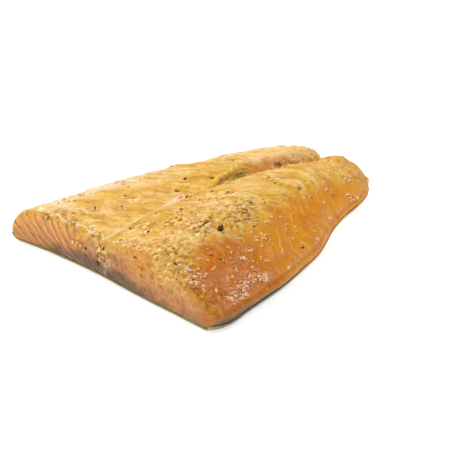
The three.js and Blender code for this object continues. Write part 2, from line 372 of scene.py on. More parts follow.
def fleshMarks(p, normals):
    # Where each look of the flesh is, as shares from 0 to 1 that fade between two places or distances in mm, or
    # between two slopes. Only phase, which counts flakes, and rise, which goes up and down, aren't shares.
    x, y, z = p.T
    nx, nz = normals[:, 0], normals[:, 2]
    phase, fromSeam, fromBack = flakePhase(p)
    ridgeX, ridgeY, ridgeLean = fleshForm["pasteRidge"]
    fromRidge = y - ridgeY - ridgeLean * (x - ridgeX)
    fromBelly = bellyY(shareAlong(x)) - y
    slow = noiseAt(p, 16, 1)
    middling = noiseAt(p, 6, 2)
    below = belowTop(p)
    cut = fade(0.4, 0.8, -nx) * fade(12, 6, x)
    upper = fade(0.35, 0.9, nz)
    corner = cut * fade(4, -3, y - z + 5 + 4 * middling)  # where the cut meets the back
    flankReach = (fromBack + 5 * slow + 0.17 * np.maximum(0, x - 115) - 9 * hump((x - 40) / 45)
                  - 6 * hump((x - 100) / 50))
    flank = np.maximum((1 - cut) * fade(38, 17, flankReach), corner)
    front = flank * fade(75, 40, x)
    top, muscleTop = upper * (1 - cut), upper * (1 - flank)
    bulge = cut * hump((y - 50) / 19) * fade(13, 20, z + 2 * middling)
    crest = hump((x - 45) / 80) * hump((y - 42) / 50)
    clump = clumpShare(p, 2 * middling)
    tailEnd = fade(160, 185, x)
    swirl = hump(awayFrom(p, fleshForm["swirl"]) / 17)
    rough = (0.18 + 0.6 * crest * (1 - 0.85 * flank) + 0.25 * cut
             + 0.35 * fade(14, 5, x) * fade(112, 100, y)
             + 0.7 * clump * (1 - 0.4 * swirl) + 0.35 * tailEnd
             + 0.5 * hump((x - 130) / 45) * hump((fromRidge + 2) / 9))
    rise = 0.4 * noiseAt(p, 7, 4) + rough * noiseAt(p, 2.8, 5)
    # the tan edge of the flesh narrows towards the tail
    rimHeight = z + 0.5 * middling + 0.08 * np.maximum(0, x - 25)
    atRim = fade(0.75, 0.4, -nx) * fade(20, 10, fromBack)
    clear = (0.25 + 0.75 * hump((x - 112) / 75)) * (1 - 0.75 * cut * fade(100, 80, y)) * (1 - 0.8 * clump)
    plain = 0.85 * flank * fade(50, 75, x) * fade(185, 160, x)
    lowCut = cut * fade(3, 10, below + 4 * middling) * (1 - bulge) * (1 - corner)
    muscle = (1 - lowCut) * (1 - flank)
    return {
        "phase": phase,
        "rise": rise,
        # painted highlight on the lumps of the relief and painted shade in its hollows
        "lump": fade(0.04, 0.35, rise) * (1 - plain) * (1 - 0.7 * flank),
        "hollow": fade(-0.04, -0.35, rise) * (1 - plain),
        "leftCut": cut * fade(95, 112, y) * fade(1, 4, below),
        "cutTop": cut * fade(11, 3, below + 3 * middling),
        # the cut face, browner towards the bottom: painted shade
        "cutLow": cut * fade(17, 3, z + 3 * middling),
        "lineFade": fade(0.8, 2.6, np.abs(fromSeam)) * np.maximum(clear, cut * fade(88, 104, y))
                    * (1 - 0.8 * flank * fade(15, 8, z)),
        # in the clumps of herbs and spice: painted shade in the hollows and painted highlight on the lumps
        "clumpHollow": clump * fade(0.0, -0.3, rise) * (1 - 0.8 * swirl) * (1 - cut * fade(95, 105, y)),
        "clumpLump": clump * fade(0.05, 0.4, rise) * (1 - 0.5 * swirl),
        "yellow": streakShare(p, yellowSpots) * top,
        # streaks of pale flesh under a thin film, partly painted sheen along the flakes
        "pale": streakShare(p, paleSpots) * top * (1 - 0.7 * clump),
        # the top of the far lobe near the tail, painted pale: painted sheen
        "farLobe": fade(135, 160, x) * fade(3, 9, fromSeam) * upper,
        "tailCurls": tailEnd * fade(4, -2, fromSeam),
        "front": front,
        "cut": cut,
        "lowCut": lowCut,
        "nearCut": lowCut * hump((y - 84) / 38),
        "bulge": bulge,
        # the foot of the cut face, darker again next to the skin: painted shade
        "foot": cut * fade(8, 1.5, z + 2 * middling) * fade(150, 80, y),
        "darkCut": cut * hump((y - 90) / 80) * fade(17, 6, z + 3 * middling + 0.1 * np.abs(y - 84)),
        "muscle": muscle,
        "streaky": muscle * (0.5 + 0.5 * hump((x - 110) / 80)) * (1 - 0.6 * clump),
        # a cream band along the top of the belly edge; its first layer is painted sheen
        "bellyEdge": (1 - lowCut) * fade(14, 0, fromBelly - 16 + 9 * fade(60, 110, x) + 8 * slow)
                     * fade(0.6, 0.9, nz + 0.2 * middling),
        "bellySide": (1 - cut) * fade(0.75, 0.3, nz) * fade(16, 8, fromBelly),
        "flank": flank,
        "rim": atRim * fade(10.4, 8.6, rimHeight),
        "dry": atRim * fade(9.5, 7.5, z - 3.5 * fade(50, 80, x)),
        # a dark olive band at the foot of the flank, where it meets the skin: painted contact shadow
        "rimLow": atRim * fade(8.4, 7.2, rimHeight),
        "grainy": np.clip(0.2 * crest * (1 - 0.8 * flank) + 0.8 * clump + 0.2 * front * fade(5, 8, z)
                          + 0.5 * fade(12, 6, x) * fade(6, 3, below), 0, 1),
        "film": muscleTop * fade(-0.02, 0.3, slow + 0.35 * middling),
        "blush": muscleTop * fade(0.0, 0.35, noiseAt(p, (22, 12, 12), 12) + 0.25 * middling),
        "brinkPaste": fade(9, 4, x) * fade(3.5, 0.5, below) * fade(-0.1, 0.25, middling),
        "swirl": swirl,
        # a near-white line along the top edge of the cut face: painted highlight, which the relief also raises a
        # little
        "brinkLine": fade(1.1, 0.4, np.abs(x - 4.5 - 1.8 * middling)) * fade(68, 76, y)
                     * fade(138, 128, y) * fade(4.5, 2.5, below)
                     * fade(-0.12, 0.1, noiseAt(p, 4, 14)),
        "seamLine": fade(1.6, 0.4, np.abs(fromSeam + 0.8 * middling)) * fade(90, 60, x)
                    * (1 - 0.6 * lowCut),
        "seamFan": cut * hump((y - 79) / 8) * fade(6, 12, z),
        "knot": hump((x - 66) / 13) * hump((fromSeam + 2 * middling) / (2.5 + 0.15 * (x - 58))),
        # the crease between the lobes, painted a deeper orange-brown: painted shade
        "trough": hump((x - 155) / 60) * hump((fromSeam - 3) / 12),
        "paste": fade(34, 22, np.abs(x - 104)) * fade(2.4, 0.8, np.abs(fromRidge + 1.5 * middling)),
        "pasteShade": hump((x - 127) / 16) * hump((fromRidge + 6) / 6),
        # painted shadow along the lower side of the paste ridge
        "pasteFoot": hump((x - 108) / 26) * hump((fromRidge + 3.4 + 1.5 * middling) / 2.6),
        # where oil drops stand close: wetter and beaded, and painted with pale glints and dark gaps
        "dew": np.maximum(dewShare(p), 0.7 * fade(8, 3, x) * fade(4, 1, below)),
    }


def relief(p, normals, marks):
    # how far each point of the flesh is moved out, in mm
    x, y = p[:, 0], p[:, 1]
    phase, cut = marks["phase"], marks["cut"]
    ridge = np.exp(-((phase - np.round(phase)) / fleshForm["lineShare"]) ** 2)
    step = phase - np.floor(phase) - 0.5
    belly = marks["lineFade"] * fade(84, 100, y)
    moundX, moundY = fleshForm["mound"]
    crumbly = noiseAt(p, 3, 10)
    lift = (fleshForm["lineReliefMm"] * ridge * marks["lineFade"]
            + fleshForm["flakeStepMm"] * step * (0.3 * marks["lineFade"] + 0.9 * belly * cut)
            + fleshForm["unevenMm"] * noiseAt(p, 19, 7)
            + fleshForm["roughMm"] * marks["rise"] * (1 - 0.4 * marks["flank"])
            + fleshForm["pasteMm"] * marks["paste"] * (1 + 0.5 * crumbly)
            + fleshForm["knotMm"] * marks["knot"] * (1 + 1.5 * crumbly)
            + fleshForm["brinkMm"] * marks["brinkLine"]
            + fleshForm["tailKnobMm"] * fade(172, 190, x) * (1 - 0.8 * marks["farLobe"]) * noiseAt(p, 9, 15)
            + fleshForm["edgeKnobMm"] * marks["bellyEdge"] * noiseAt(p, 6, 16)
            + fleshForm["moundMm"] * hump((x - moundX) / 13) * hump((y - moundY) / 9))
    foot = fleshForm["footMm"] * fade(9, 5, p[:, 2]) * fade(-0.9, -0.5, normals[:, 2])
    return lift * fade(3, 8, p[:, 2]) + foot


fleshFinish = {
    "ground": "#dc9c2c",
    # Each layer covers those before it: where it is, its colour, the most that it covers, and for some the pattern
    # that breaks it up, or None, with the values at which that, or else the share itself, starts and is full.
    "layers": [
        (None, "#e8b844", 0.7, "patches", 0.38, 0.62),
        ("blush", "#f0bc64", 0.4, "patches", 0.3, 0.55),
        ("film", "#e2aa18", 0.5, "patches", 0.3, 0.5),
        ("muscle", "#dcae24", 0.6, "blots", 0.5, 0.58),
        ("muscle", "#f2c47c", 0.5, "blots", 0.46, 0.38),
        ("muscle", "#f6d288", 0.7, "swirls", 0.52, 0.62),
        ("muscle", "#dca020", 0.65, "swirls", 0.47, 0.37),
        ("film", "#c4a224", 0.6, "swirls", 0.45, 0.36),
        # painted sheen: a cream band along the top of the belly edge
        ("bellyEdge", "#f8dcbc", 0.85, None, 0, 0.8),
        ("bellyEdge", "#e4a84c", 0.6, "swirls", 0.48, 0.4),
        # pale streaks: partly pale flesh, partly painted sheen
        ("pale", "#f2c47c", 0.5, None, 0.1, 0.6),
        ("pale", "#fad49c", 0.6, "bands", 0.42, 0.56),
        ("yellow", "#e0a010", 0.7, None, 0.1, 0.6),
        ("yellow", "#c89810", 0.5, "blots", 0.5, 0.58),
        ("bellySide", "#d08430", 0.9),
        ("bellySide", "#e4a860", 0.5, "swirls", 0.5, 0.62),
        # painted sheen on the top of the far lobe
        ("farLobe", "#fcd494", 0.8),
        # the flank's deeper orange: partly its own colour, partly painted shade for a slope steeper than the mesh's
        ("flank", "#da8810", 1),
        ("flank", "#e49a20", 0.7, "patches", 0.42, 0.6),
        ("flank", "#d07808", 0.7, "patches", 0.42, 0.3),
        ("front", "#d06c00", 0.9),
        # painted shade in the crease between the lobes
        ("trough", "#c87e24", 0.9, None, 0, 0.9),
        ("streaky", "#f4d080", 0.4, "bands", 0.52, 0.7),
        ("streaky", "#bc8418", 0.5, "bands", 0.48, 0.3),
        ("streaky", "#fadca4", 0.5, "fibres", 0.52, 0.68),
        ("streaky", "#b0781c", 0.5, "fibres", 0.48, 0.32),
        ("flank", "#eca850", 0.4, "fibres", 0.52, 0.72),
        ("flank", "#a85c0c", 0.3, "fibres", 0.48, 0.3),
        # pale specks on the front of the flank: painted glints
        ("front", "#eca050", 0.5, "grit", 0.58, 0.68),
        ("front", "#944c0c", 0.6, "flecks", 0.45, 0.32),
        ("grainy", "#c07c14", 0.5, "grainTone", 0.4, 0.1),
        ("grainy", "#f6cc78", 0.6, "grainTone", 0.78, 0.95),
        ("grainy", "#eec070", 0.25, "grainEdge", 0.3, 1),
        ("grainy", "#8c7020", 0.7, "flecks", 0.4, 0.3),
        ("tailCurls", "#dc9a30", 0.6),
        ("tailCurls", "#eeb878", 0.35, "blots", 0.5, 0.6),
        ("tailCurls", "#f0bc84", 0.35, "curls", 0.54, 0.62),
        ("tailCurls", "#a47e1c", 0.2, "curls", 0.46, 0.38),
        # painted shade in the hollows and painted highlight on the lumps, which the soft light alone leaves faint
        ("hollow", "#b4781a", 0.55),
        ("lump", "#f6d480", 0.45),
        # painted glints at the middles of the drops and painted shade in the gaps between them
        ("dew", "#f8c088", 0.5, "drops", 0.42, 0.2),
        ("dew", "#8c480c", 0.6, "drops", 0.5, 0.7),
        ("rim", "#aa8058", 0.9),
        # painted contact shadow at the foot of the flank
        ("rimLow", "#6e6040", 0.8),
        ("lowCut", "#d8924e", 1),
        ("nearCut", "#a0683e", 1, "patches", 0.2, 0.6),
        ("lowCut", "#e8bc90", 0.35, "fibres", 0.52, 0.7),
        ("lowCut", "#946040", 0.35, "fibres", 0.46, 0.3),
        ("lowCut", "#ecc8a0", 0.35, "grit", 0.55, 0.7),
        ("lowCut", "#8c6040", 0.35, "grit", 0.45, 0.3),
        ("bulge", "#d4882c", 0.8),
        ("cutTop", "#e4a848", 0.5),
        # painted shade: the cut face browner towards the bottom
        ("cutLow", "#9c6c4a", 0.75, "patches", 0.2, 0.6),
        # painted shade at the foot of the cut face
        ("foot", "#8e7454", 0.6, "patches", 0.2, 0.5),
        ("leftCut", "#e29a3c", 0.3),
        ("leftCut", "#a4562c", 0.6, "lineShade", 0, 1),
        ("leftCut", "#f4c080", 0.7, "fatLine", 0, 0.5),
        ("darkCut", "#745840", 0.9, None, 0.1, 0.7),
        ("darkCut", "#64583c", 0.5, "patches", 0.4, 0.6),
        ("darkCut", "#a08468", 0.4, "bands", 0.45, 0.62),
        ("darkCut", "#5c4638", 0.5, "lineShade", 0, 1),
        ("darkCut", "#b89c80", 0.6, "fatLine", 0, 1),
        ("lineFade", "#f6c888", 0.6, "fatLine", 0, 1),
        ("film", "#ecc858", 0.3, "grit", 0.45, 0.65),
        ("seamLine", "#f0cc90", 0.6),
        ("seamFan", "#eac48a", 0.6, "fibres", 0.4, 0.6),
        # painted shade in the hollows of the clumps and painted highlight on their lumps
        ("clumpHollow", "#845c10", 0.9, "patches", 0.2, 0.5),
        ("clumpLump", "#f6cc68", 0.6),
        ("brinkPaste", "#e8c840", 0.5, "grit", 0.35, 0.6),
        # painted highlight along the top edge of the cut face
        ("brinkLine", "#feeabc", 0.75),
        ("swirl", "#e2a23c", 0.6),
        ("swirl", "#c88c24", 0.5, "grainTone", 0.5, 0.2),
        ("swirl", "#f2cc78", 0.8, "grainEdge", 0.2, 0.8),
        ("swirl", "#6e5c18", 0.6, "flecks", 0.36, 0.3),
        ("knot", "#f6d8c0", 0.8, None, 0, 0.6),
        ("knot", "#eeb4a0", 0.6, "grit", 0.5, 0.6),
        ("pasteShade", "#98801f", 0.8),
        ("pasteShade", "#4c4418", 0.9, "flecks", 0.5, 0.58),
        # painted shadow under the paste ridge
        ("pasteFoot", "#a86c14", 0.9, None, 0, 0.8),
        ("paste", "#eac63c", 1, "grit", 0.2, 0.55),
    ],
    # patterns that follow the flakes: how many to a flake, and the noise's scale, detail, roughness and distortion
    "streaks": {
        "bands": (0.9, 1.0, 2.0, 0.6, 0.7),  # 2 to 6 mm across and about 20 mm long
        "fibres": (2.2, 1.0, 3.0, 0.6, 0.7),  # 1 to 2.5 mm across and as long
        "swirls": (0.5, 1.2, 3.0, 0.55, 1.3),  # smears 5 to 7 mm across and about 17 mm long
    },
    # patterns that don't: how many to a millimetre, the noise's detail and distortion
    "mottles": {
        "patches": (0.11, 4.0, 0.0),  # blotches of 9 mm
        "blots": (0.11, 3.0, 1.5),  # curled ones of 9 mm, where the oil is thick or gone
        "curls": (0.38, 2.0, 0.8),  # small curls of 2.6 mm in the film
        "grit": (0.75, 3.0, 0.0),  # oily grit of 1.3 mm
        "flecks": (0.9, 1.0, 0.0),  # flecks of 1.1 mm
    },
    "grainsPerMm": 0.32,  # soaked grains of 3 mm, in films of their own tone with pale edges
    "grainPushMm": (6, 6, 6),  # how far they are pushed out of shape, 3 mm either way
    "dropsPerMm": 0.5,  # drops of 2 mm
    "wetness": {"flank": 0.3, "dew": 0.6},
    "runWetness": (0.2, 0.75),  # beside the runs of oil and in them
    "dullRoughness": (0.36, 0.56),
    "wetRoughness": 0.12,
}


# Raw salmon muscle under oil: translucent orange with thin lines of white fat between the flakes, so light soaks
# in and comes out warmer, and the wet film gives sharp small highlights.
def wetSalmonFlesh():
    material, tree = newMaterial("wetSalmonFlesh")
    wheres = {layer[0] for layer in fleshFinish["layers"]} - {None}
    share = {name: addNode(tree, "Attribute", attribute_name=name).outputs["Fac"]
             for name in sorted(wheres | {"phase", "dry"})}
    placeMm, parts = placeInMm(tree)
    along = addNode(tree, "Math", {0: parts["X"], 1: 0.05}, operation="MULTIPLY")
    upright = addNode(tree, "Math", {0: parts["Z"], 1: 0.1}, operation="MULTIPLY")
    pattern = {}
    for name, (perFlake, scale, detail, roughness, distortion) in fleshFinish["streaks"].items():
        across = addNode(tree, "Math", {0: share["phase"], 1: perFlake}, operation="MULTIPLY")
        streakPlace = addNode(tree, "CombineXYZ", {0: across, 1: along, 2: upright})
        pattern[name] = addNode(tree, "TexNoise", {
            "Vector": streakPlace, "Scale": scale, "Detail": detail, "Roughness": roughness,
            "Distortion": distortion})
    for name, (perMm, detail, distortion) in fleshFinish["mottles"].items():
        pattern[name] = addNode(tree, "TexNoise", {
            "Vector": placeMm, "Scale": perMm, "Detail": detail, "Distortion": distortion})
    push = addNode(tree, "TexNoise", {"Vector": placeMm, "Scale": 0.2, "Detail": 2.0}).outputs["Color"]
    grainPlace = addNode(tree, "VectorMath", {
        0: push, 1: fleshFinish["grainPushMm"], 2: placeMm}, operation="MULTIPLY_ADD")
    grains = addNode(tree, "TexVoronoi", {
        "Vector": grainPlace, "Scale": fleshFinish["grainsPerMm"], "Smoothness": 0.3}, feature="SMOOTH_F1")
    pattern["grainTone"] = addNode(tree, "SeparateColor", {0: grains.outputs["Color"]})
    toEdge = addNode(tree, "TexVoronoi", {
        "Vector": grainPlace, "Scale": fleshFinish["grainsPerMm"]}, feature="DISTANCE_TO_EDGE")
    toEdge = toEdge.outputs["Distance"]
    pattern["grainEdge"] = addNode(tree, "MapRange", {0: toEdge, 1: 0.04, 2: 0.2, 3: 1.0, 4: 0.0}, **eased)
    pattern["drops"] = addNode(tree, "TexVoronoi", {
        "Vector": grainPlace, "Scale": fleshFinish["dropsPerMm"], "Smoothness": 0.5},
        feature="SMOOTH_F1").outputs["Distance"]
    # the pale line at each whole number of the phase, faded in and out by the blotches
    fraction = addNode(tree, "Math", {0: share["phase"]}, operation="FRACT")
    centred = addNode(tree, "Math", {0: fraction, 1: 0.5}, operation="SUBTRACT")
    away = addNode(tree, "Math", {0: centred}, operation="ABSOLUTE")
    line = addNode(tree, "MapRange", {0: away, 1: 0.39, 2: 0.485, 3: 0.0, 4: 1.0}, **eased)
    broken = addNode(tree, "MapRange", {0: pattern["patches"], 1: 0.38, 2: 0.62, 3: 0.1, 4: 1.0})
    pattern["fatLine"] = addNode(tree, "Math", {0: line, 1: broken}, operation="MULTIPLY")
    # the shade on one side of it
    pattern["lineShade"] = addNode(tree, "MapRange", {0: fraction, 1: 0.5, 2: 0.85, 3: 0.0, 4: 1.0})

    colour = linear(fleshFinish["ground"])
    for where, hexColour, most, *broken in fleshFinish["layers"]:
        by, start, full = broken or (None, 0, 1)
        source = pattern[by] if by else share[where]
        amount = addNode(tree, "MapRange", {0: source, 1: start, 2: full, 3: 0.0, 4: most}, **eased)
        if where and by:
            amount = addNode(tree, "Math", {0: amount, 1: share[where]}, operation="MULTIPLY")
        colour = addNode(tree, "Mix", {0: amount, 6: colour, 7: linear(hexColour)}, data_type="RGBA").outputs[2]

    # relief too fine for the mesh: fibres and grit 0.12 mm high, then grains and drops, which stand out where the
    # distance from their middle is small
    domes = addNode(tree, "Math", {0: grains.outputs["Distance"], 1: share["grainy"]}, operation="MULTIPLY")
    beads = addNode(tree, "Math", {0: pattern["drops"], 1: share["dew"]}, operation="MULTIPLY")
    normal = {}
    for height, strength, highMm, invert in (
            (pattern["fibres"], 0.5, 0.12, False), (pattern["grit"], 0.5, 0.12, False),
            (domes, 0.5, 0.25, True), (beads, 0.8, 0.6, True)):
        bump = addNode(tree, "Bump", {
            "Strength": strength, "Distance": highMm * mm, "Height": height, **normal}, invert=invert)
        normal = {"Normal": bump}
    # the runs of oil are the wettest, then the drops, then the flank
    leastDull, dullest = fleshFinish["dullRoughness"]
    dull = addNode(tree, "MapRange", {0: pattern["grit"], 1: 0.3, 2: 0.7, 3: leastDull, 4: dullest})
    least, most = fleshFinish["runWetness"]
    wet = addNode(tree, "MapRange", {0: pattern["patches"], 1: 0.42, 2: 0.6, 3: least, 4: most}, **eased)
    for where, most in fleshFinish["wetness"].items():
        amount = addNode(tree, "Math", {0: share[where], 1: most}, operation="MULTIPLY")
        wet = addNode(tree, "Math", {0: wet, 1: amount}, operation="MAXIMUM")
    wet = addNode(tree, "Math", {0: wet, 1: share["dry"]}, operation="SUBTRACT", use_clamp=True)
    rough = addNode(tree, "MapRange", {0: wet, 1: 0.0, 2: 1.0, 3: dull, 4: fleshFinish["wetRoughness"]})
    shader = addNode(tree, "BsdfPrincipled", {
        "Base Color": colour, "Roughness": rough, "IOR": 1.45, "Specular IOR Level": 0.38,
        "Subsurface Weight": 0.15, "Subsurface Radius": (1.0, 0.5, 0.2), "Subsurface Scale": 1.5 * mm, **normal},
        subsurface_method="RANDOM_WALK")
    addNode(tree, "OutputMaterial", {"Surface": shader})
    return material


flesh = buildFlesh()
flesh.data.materials.append(wetSalmonFlesh())
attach(flesh, "root")
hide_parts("flesh")
print("flesh:", len(flesh.data.polygons), "faces")


skinForm = {
    "levels": 2,
    "scaleMm": 2.6,  # one scale of the skin
    "rimWaveMm": 0.35,
    "colours": {"ground": ("#57533c", "#8b8a80"), "rim": "#8d7450", "stain": "#c48c48", "cutEnd": "#b8a468",
                "shine": "#c9c9c2"},
}


def buildSkin():
    skin = copyOfNode("skin", "salmonSkin")
    levels = skinForm["levels"]
    applyModifier(skin, "SUBSURF", subdivision_type="SIMPLE", levels=levels, render_levels=levels)
    applyModifier(skin, "SMOOTH", factor=0.5, iterations=2)
    points = pointsOf(skin.data)
    p = points / mm - cornerMm
    wave = skinForm["rimWaveMm"] * noiseAt(p * [1, 1, 0], 5, 8) * fade(2.5, 6, p[:, 2])
    points[:, 2] += wave * mm
    movePoints(skin.data, points)
    # the cut through the skin, at the thick end
    setShare(skin.data, "cutEnd", fade(0.3, 0.7, -normalsOf(skin.data)[:, 0]) * fade(16, 10, p[:, 0]))
    pick(skin)
    bpy.ops.object.shade_smooth_by_angle(angle=sharpAngle)
    return skin


# Wet salmon skin: silver scales over a grey-green ground, tan where it has come away at the rim. It is damp, so it
# shines softly, broken up by the low relief of the scales.
def silverSkin():
    material, tree = newMaterial("silverSalmonSkin")
    placeMm, parts = placeInMm(tree)
    colours, scaleMm = skinForm["colours"], skinForm["scaleMm"]
    scaleMap = addNode(tree, "Mapping", {
        "Vector": placeMm, "Scale": (scaleMm * 1.25, scaleMm, scaleMm)}, vector_type="TEXTURE")
    toScale = addNode(tree, "TexVoronoi", {
        "Vector": scaleMap, "Scale": 1.0, "Randomness": 0.35}, feature="F1").outputs["Distance"]
    patches = addNode(tree, "TexNoise", {"Vector": placeMm, "Scale": 0.08, "Detail": 5.0})
    ground = addNode(tree, "ValToRGB", {0: patches})
    for stop, at, hexColour in zip(ground.color_ramp.elements, (0.35, 0.65), colours["ground"]):
        stop.position, stop.color = at, linear(hexColour)
    share = {"rim": addNode(tree, "MapRange", {0: parts["Z"], 1: 2.5, 2: 5.0, 3: 0.0, 4: 0.8}, **eased)}
    # towards the tail the flesh hangs over its edge and stains it
    low = addNode(tree, "MapRange", {0: parts["Z"], 1: 0.05, 2: 0.5, 3: 0.0, 4: 0.9})
    towardsTail = addNode(tree, "MapRange", {0: parts["X"], 1: -25.0, 2: 0.0, 3: 0.0, 4: 1.0}, **eased)
    share["stain"] = addNode(tree, "Math", {0: low, 1: towardsTail}, operation="MULTIPLY")
    share["cutEnd"] = addNode(tree, "Attribute", attribute_name="cutEnd").outputs["Fac"]
    share["shine"] = addNode(tree, "MapRange", {0: toScale, 1: 0.1, 2: 0.6, 3: 0.35, 4: 0.0})
    colour = ground
    for where, amount in share.items():
        hexColour = colours[where]
        colour = addNode(tree, "Mix", {0: amount, 6: colour, 7: linear(hexColour)}, data_type="RGBA").outputs[2]
    bump = addNode(tree, "Bump", {"Strength": 0.5, "Distance": 0.25 * mm, "Height": toScale}, invert=True)
    shader = addNode(tree, "BsdfPrincipled", {
        "Base Color": colour, "Roughness": 0.38, "IOR": 1.45, "Metallic": 0.15,
        "Coat Weight": 0.4, "Coat Roughness": 0.15, "Normal": bump})
    addNode(tree, "OutputMaterial", {"Surface": shader})
    return material


skin = buildSkin()
skin.data.materials.append(silverSkin())
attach(skin, "root")
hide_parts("skin")
print("skin:", len(skin.data.polygons), "faces")


# The bits of the marinade: each kind is one piece, laid on the flesh.
surface = BVHTree.FromObject(flesh, bpy.context.evaluated_depsgraph_get())
fullTurn = 6.28  # radians
mostLean = 0.25


def spotFrom(place, direction):
    return surface.ray_cast(Vector((np.array(place) + cornerMm) * mm), Vector(direction))[:2]


def spotOnTop(x, y, startZ=90):
    return spotFrom((x, y, startZ), (0, 0, -1))


def spotOnCut(y, z, startX=-60):
    return spotFrom((startX, y, z), (1, 0, 0))


def spotsBy(weigh, count, seed):
    # places spread over the flesh, denser where weigh says
    faces = flesh.data.polygons
    centres, normals, areas = readOut(faces, "center"), readOut(faces, "normal"), readOut(faces, "area", 1)[:, 0]
    weights = areas * np.clip(weigh(centres / mm - cornerMm, normals), 0, None)
    chosen = np.random.default_rng(seed).choice(len(areas), count, replace=False, p=weights / weights.sum())
    return [(Vector(centres[i]), Vector(normals[i])) for i in chosen]


def modelBit(kind, seed, sides, rough=0.1, detail=2, flat=None):
    # one bit about 1 unit long, modelled from a ball or a leaf
    bpy.ops.object.select_all(action="DESELECT")
    if kind == "leaf":
        bpy.ops.mesh.primitive_grid_add(x_subdivisions=6, y_subdivisions=4, size=1)
        bit = bpy.context.object
        points = pointsOf(bit.data)
        x, y = points[:, 0], points[:, 1]
        points[:, 1] = y * (1 - (2 * x) ** 2 * 0.7) * sides[1]
        points[:, 2] = 0.16 * np.sin(3.1 * x + seed) + 0.5 * y**2 + 0.05 * np.sin(9 * x + 5 * y + seed)
        movePoints(bit.data, points)
        applyModifier(bit, "SOLIDIFY", thickness=0.07, offset=0)
    else:
        bpy.ops.mesh.primitive_ico_sphere_add(subdivisions=detail, radius=0.5)
        bit = bpy.context.object
        points = pointsOf(bit.data)
        bumps = np.array([noise.noise(Vector(p * 3.1) + Vector((seed * 7.7, 0, seed))) for p in points])
        points = points * (1 + rough * 2 * bumps)[:, None]
        if flat is not None:
            points[:, 2] = np.minimum(points[:, 2], flat)
        movePoints(bit.data, points * np.array(sides))
    points = pointsOf(bit.data)
    faces = [tuple(face.vertices) for face in bit.data.polygons]
    bpy.data.objects.remove(bit, do_unlink=True)
    return points, faces


def layBits(name, kind, spots, sizesMm, seed, turns=None):
    # one mesh with a copy of one of the kind's shapes at each spot
    shapes = [modelBit(*shape) for shape in kind["shapes"]]
    chance = np.random.default_rng(seed)
    allPoints, allFaces, tones = [], [], []
    count = 0
    for i, (place, normal) in enumerate(spots):
        points, faces = shapes[i % len(shapes)]
        size = sizesMm[i] * mm
        turn = chance.uniform(0, 2 * math.pi) if turns is None else turns[i]
        lean = Matrix.Rotation(chance.uniform(-mostLean, mostLean), 3, "X")
        stand = normal.to_track_quat("Z", "Y").to_matrix() @ Matrix.Rotation(turn, 3, "Z") @ lean
        centre = np.array(place) + np.array(normal) * size * (0.5 - kind["sink"]) * 0.5
        allPoints.append(points * size @ np.array(stand).T + centre)
        allFaces += [tuple(v + count for v in face) for face in faces]
        tones.append(np.full(len(points), chance.uniform()))
        count += len(points)
    mesh = bpy.data.meshes.new(name)
    mesh.from_pydata(np.concatenate(allPoints).tolist(), [], allFaces)
    setShare(mesh, "tone", np.concatenate(tones))
    piece = newObject(name, mesh)
    bpy.ops.object.shade_smooth_by_angle(angle=sharpAngle)
    mesh.materials.append(bitMaterial(*kind["finish"]))
    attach(piece, "root")
    print(name + ":", len(spots), "bits,", len(mesh.polygons), "faces")


def bitMaterial(name, tones, roughness, specular, grainMm, subsurface=0.0):
    # a bit's own tone picks its colour from the list, with a fine mottle over it
    if name in bpy.data.materials:
        return bpy.data.materials[name]
    material, tree = newMaterial(name)
    tone = addNode(tree, "Attribute", attribute_name="tone").outputs["Fac"]
    place = addNode(tree, "TexCoord").outputs["Object"]
    mottle = addNode(tree, "TexNoise", {"Vector": place, "Scale": 1 / (grainMm * mm), "Detail": 3.0})
    shifted = addNode(tree, "Math", {0: mottle, 1: 0.9, 2: tone}, operation="MULTIPLY_ADD")
    spread = addNode(tree, "Math", {0: shifted, 1: 0.45}, operation="SUBTRACT")
    ramp = addNode(tree, "ValToRGB", {0: spread})
    stops = ramp.color_ramp.elements
    for i in range(1, len(tones) - 1):
        stops.new(i / (len(tones) - 1))
    for i, colour in enumerate(tones):
        stops[i].position, stops[i].color = i / (len(tones) - 1), linear(colour)
    bump = addNode(tree, "Bump", {"Strength": 0.6, "Distance": 0.15 * mm, "Height": mottle})
    shader = addNode(tree, "BsdfPrincipled", {
        "Base Color": ramp, "Roughness": roughness, "IOR": 1.45, "Specular IOR Level": specular,
        "Subsurface Weight": subsurface, "Subsurface Radius": (1.0, 0.8, 0.4),
        "Subsurface Scale": 0.6 * mm, "Normal": bump})
    addNode(tree, "OutputMaterial", {"Surface": shader})
    return material


